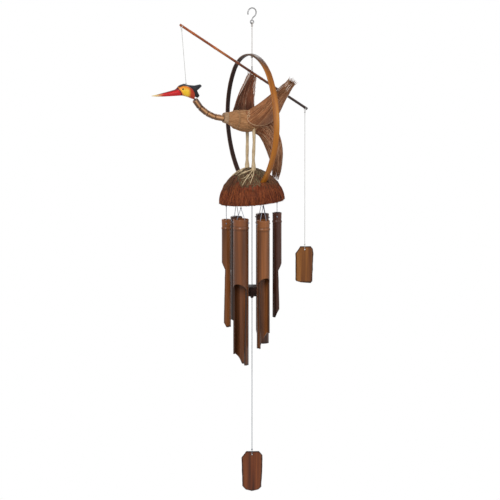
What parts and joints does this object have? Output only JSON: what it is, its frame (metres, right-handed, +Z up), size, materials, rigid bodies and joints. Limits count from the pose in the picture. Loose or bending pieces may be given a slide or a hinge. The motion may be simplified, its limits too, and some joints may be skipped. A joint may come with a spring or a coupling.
{
  "type": "bobbing-bird bamboo wind chime",
  "caption": "Hanging wind chime: a fibre crane with a beaded neck on half a coconut in a bent bamboo hoop, with a balance rod, bamboo tubes, a striker and a sail.",
  "frame": {"origin": "crest of the inside of the hook's bend, where it rests on what it hangs from", "axes": "+Z up along the hanging line, -X the way that the bird faces, +Y to the bird's right; the hoop lies in the YZ plane"},
  "size_m": [0.3794, 0.2, 0.9814],
  "materials": {
    "wire": "drawn wire",
    "cord": "twisted natural cord",
    "dark_cord": "twisted dark cord",
    "grey_cord": "twisted grey cord",
    "pale_twine": "pale twisted twine",
    "hoop_bamboo": "flame-browned split bamboo",
    "husk": "coarse husk fibre",
    "fibre": "coarse sheath fibre",
    "wing_fibre": "woven sheath fibre",
    "twig": "bare pale twig",
    "bead_bamboo": "polished bamboo",
    "painted_wood": "hand-painted carved wood",
    "rod_bamboo": "polished bamboo",
    "flag_bamboo": "browned bamboo with scorched edges",
    "tube_bamboo": "flame-browned bamboo",
    "striker_wood": "rough dark wood",
    "sail_bamboo": "dark browned bamboo with scorched edges"
  },
  "bodies": {
    "hanging_hook": {"hook": "wire"},
    "hanger": {"hanger_cord": "cord"},
    "turning_knot": {"hoop_knot": "cord"},
    "frame": {"hoop": "hoop_bamboo", "pivot_cord": "cord", "pivot_loop": "dark_cord", "coconut_cap": "husk", "bird_body": "fibre", "neck_collar": "pale_twine", "left_wing": "wing_fibre", "right_wing": "wing_fibre", "tail": "fibre", "left_leg": "twig", "right_leg": "twig", "body_twine": "pale_twine", "neck_cord_root": "cord"},
    "rod": {"balance_rod": "rod_bamboo"},
    "head_line": {"head_thread": "pale_twine"},
    "rod_loop": {"tail_tie": "pale_twine"},
    "flag_line": {"flag_thread": "pale_twine"},
    "flag": {"wind_flag": "flag_bamboo"},
    "neck_1": {"neck_bead_1": "bead_bamboo", "neck_cord_1": "cord"},
    "neck_2": {"neck_bead_2": "bead_bamboo", "neck_cord_2": "cord"},
    "neck_3": {"neck_bead_3": "bead_bamboo", "neck_cord_3": "cord"},
    "neck_4": {"neck_bead_4": "bead_bamboo", "neck_cord_4": "cord"},
    "bird_head": {"head": "painted_wood", "neck_cord_head": "cord"},
    "tie_1": {"tube_tie_1": "grey_cord"},
    "tube_1": {"chime_tube_1": "tube_bamboo"},
    "tie_2": {"tube_tie_2": "grey_cord"},
    "tube_2": {"chime_tube_2": "tube_bamboo"},
    "tie_3": {"tube_tie_3": "grey_cord"},
    "tube_3": {"chime_tube_3": "tube_bamboo"},
    "tie_4": {"tube_tie_4": "grey_cord"},
    "tube_4": {"chime_tube_4": "tube_bamboo"},
    "tie_5": {"tube_tie_5": "grey_cord"},
    "tube_5": {"chime_tube_5": "tube_bamboo"},
    "tie_6": {"tube_tie_6": "grey_cord"},
    "tube_6": {"chime_tube_6": "tube_bamboo"},
    "striker_pivot": {"centre_knot": "dark_cord"},
    "striker_line": {"striker_cord": "grey_cord", "striker": "striker_wood"},
    "sail_line": {"sail_cord": "grey_cord"},
    "sail": {"wind_sail": "sail_bamboo"}
  },
  "joints": [
    {"name": "hanger_swing", "type": "hinge", "parent": "hanging_hook", "child": "hanger", "pos_m": [0, 0, -0.03046], "axis": [1, 0, 0], "range_deg": [-10, 10]},
    {"name": "chime_turn", "type": "hinge", "parent": "hanger", "child": "turning_knot", "pos_m": [0, 0, -0.09826], "axis": [0, 0, 1], "range_deg": [-90, 90]},
    {"name": "frame_sway", "type": "hinge", "parent": "turning_knot", "child": "frame", "pos_m": [0, 0, -0.09346], "axis": [0, 1, 0], "range_deg": [-7, 7]},
    {"name": "rod_tilt", "type": "hinge", "parent": "frame", "child": "rod", "pos_m": [0, 0, -0.12886], "axis": [0, 1, 0], "range_deg": [-6, 5]},
    {"name": "head_thread_swing", "type": "hinge", "parent": "rod", "child": "head_line", "pos_m": [-0.16265, 0, -0.02404], "axis": [0, 1, 0], "range_deg": [-6.42, 7.66]},
    {"name": "rod_loop_swing", "type": "hinge", "parent": "rod", "child": "rod_loop", "pos_m": [0.12272, 0, -0.20795], "axis": [0, 1, 0], "range_deg": [-5.2, 6.2]},
    {"name": "flag_line_swing", "type": "hinge", "parent": "rod_loop", "child": "flag_line", "pos_m": [0.12272, 0, -0.21895], "axis": [1, 0, 0], "range_deg": [-20, 20]},
    {"name": "flag_swing", "type": "hinge", "parent": "flag_line", "child": "flag", "pos_m": [0.12272, 0, -0.49215], "axis": [0.866, -0.5, 0], "range_deg": [-30, 30]},
    {"name": "neck_bend_1", "type": "hinge", "parent": "frame", "child": "neck_1", "pos_m": [-0.067, 0, -0.21686], "axis": [0, 1, 0], "range_deg": [-10.51, 8.79]},
    {"name": "neck_bend_2", "type": "hinge", "parent": "neck_1", "child": "neck_2", "pos_m": [-0.08653, 0, -0.21254], "axis": [0, 1, 0], "range_deg": [-2, 1.7]},
    {"name": "neck_bend_3", "type": "hinge", "parent": "neck_2", "child": "neck_3", "pos_m": [-0.1045, 0, -0.20377], "axis": [0, 1, 0], "range_deg": [-2, 1.7]},
    {"name": "neck_bend_4", "type": "hinge", "parent": "neck_3", "child": "neck_4", "pos_m": [-0.11993, 0, -0.19105], "axis": [0, 1, 0], "range_deg": [-2, 1.7]},
    {"name": "head_nod", "type": "hinge", "parent": "neck_4", "child": "bird_head", "pos_m": [-0.13197, 0, -0.17507], "axis": [0, 1, 0], "range_deg": [-7.47, 8.93]},
    {"name": "tie_swing_1", "type": "hinge", "parent": "frame", "child": "tie_1", "pos_m": [-0.0446, 0.02575, -0.38404], "axis": [-0.866, 0.5, 0], "range_deg": [-2.2, 2.2]},
    {"name": "tube_swing_1", "type": "hinge", "parent": "tie_1", "child": "tube_1", "pos_m": [-0.0446, 0.02575, -0.43304], "axis": [0.5, 0.866, 0], "range_deg": [-1.5, 12]},
    {"name": "tie_swing_2", "type": "hinge", "parent": "frame", "child": "tie_2", "pos_m": [-0.00669, 0.0509, -0.38263], "axis": [-0.1219, 0.9925, 0], "range_deg": [-2.2, 2.2]},
    {"name": "tube_swing_2", "type": "hinge", "parent": "tie_2", "child": "tube_2", "pos_m": [-0.00669, 0.0509, -0.43323], "axis": [0.9925, 0.1219, 0], "range_deg": [-1.5, 12]},
    {"name": "tie_swing_3", "type": "hinge", "parent": "frame", "child": "tie_3", "pos_m": [-0.04228, -0.02897, -0.38199], "axis": [-0.8192, -0.5736, 0], "range_deg": [-2.2, 2.2]},
    {"name": "tube_swing_3", "type": "hinge", "parent": "tie_3", "child": "tube_3", "pos_m": [-0.04228, -0.02897, -0.42599], "axis": [-0.5736, 0.8192, 0], "range_deg": [-1.5, 12]},
    {"name": "tie_swing_4", "type": "hinge", "parent": "frame", "child": "tie_4", "pos_m": [-0.00326, -0.05059, -0.37887], "axis": [-0.0523, -0.9986, 0], "range_deg": [-2.2, 2.2]},
    {"name": "tube_swing_4", "type": "hinge", "parent": "tie_4", "child": "tube_4", "pos_m": [-0.00326, -0.05059, -0.42847], "axis": [-0.9986, 0.0523, 0], "range_deg": [-1.5, 12]},
    {"name": "tie_swing_5", "type": "hinge", "parent": "frame", "child": "tie_5", "pos_m": [0.04119, 0.02959, -0.37898], "axis": [0.8192, 0.5736, 0], "range_deg": [-2.2, 2.2]},
    {"name": "tube_swing_5", "type": "hinge", "parent": "tie_5", "child": "tube_5", "pos_m": [0.04119, 0.02959, -0.42828], "axis": [0.5736, -0.8192, 0], "range_deg": [-1.5, 12]},
    {"name": "tie_swing_6", "type": "hinge", "parent": "frame", "child": "tie_6", "pos_m": [0.04352, -0.02512, -0.37693], "axis": [0.866, -0.5, 0], "range_deg": [-2.2, 2.2]},
    {"name": "tube_swing_6", "type": "hinge", "parent": "tie_6", "child": "tube_6", "pos_m": [0.04352, -0.02512, -0.41923], "axis": [-0.5, -0.866, 0], "range_deg": [-1.5, 12]},
    {"name": "striker_swing_side", "type": "hinge", "parent": "frame", "child": "striker_pivot", "pos_m": [0, 0, -0.32366], "axis": [1, 0, 0], "range_deg": [-2.2, 2.2]},
    {"name": "striker_swing_front", "type": "hinge", "parent": "striker_pivot", "child": "striker_line", "pos_m": [0, 0, -0.32366], "axis": [0, 1, 0], "range_deg": [-2.2, 2.2]},
    {"name": "sail_line_swing", "type": "hinge", "parent": "striker_line", "child": "sail_line", "pos_m": [0, 0, -0.58366], "axis": [1, 0, 0], "range_deg": [-7, 7]},
    {"name": "sail_swing", "type": "hinge", "parent": "sail_line", "child": "sail", "pos_m": [0, 0, -0.90016], "axis": [0.866, -0.5, 0], "range_deg": [-30, 30]}
  ],
  "couplings": [
    {"joint": "head_thread_swing", "follows": "rod_tilt", "ratio": -1.244},
    {"joint": "rod_loop_swing", "follows": "rod_tilt", "ratio": -1},
    {"joint": "neck_bend_1", "follows": "rod_tilt", "ratio": 1.718},
    {"joint": "neck_bend_2", "follows": "rod_tilt", "ratio": 0.3},
    {"joint": "neck_bend_3", "follows": "rod_tilt", "ratio": 0.3},
    {"joint": "neck_bend_4", "follows": "rod_tilt", "ratio": 0.3},
    {"joint": "head_nod", "follows": "rod_tilt", "ratio": -1.455}
  ]
}
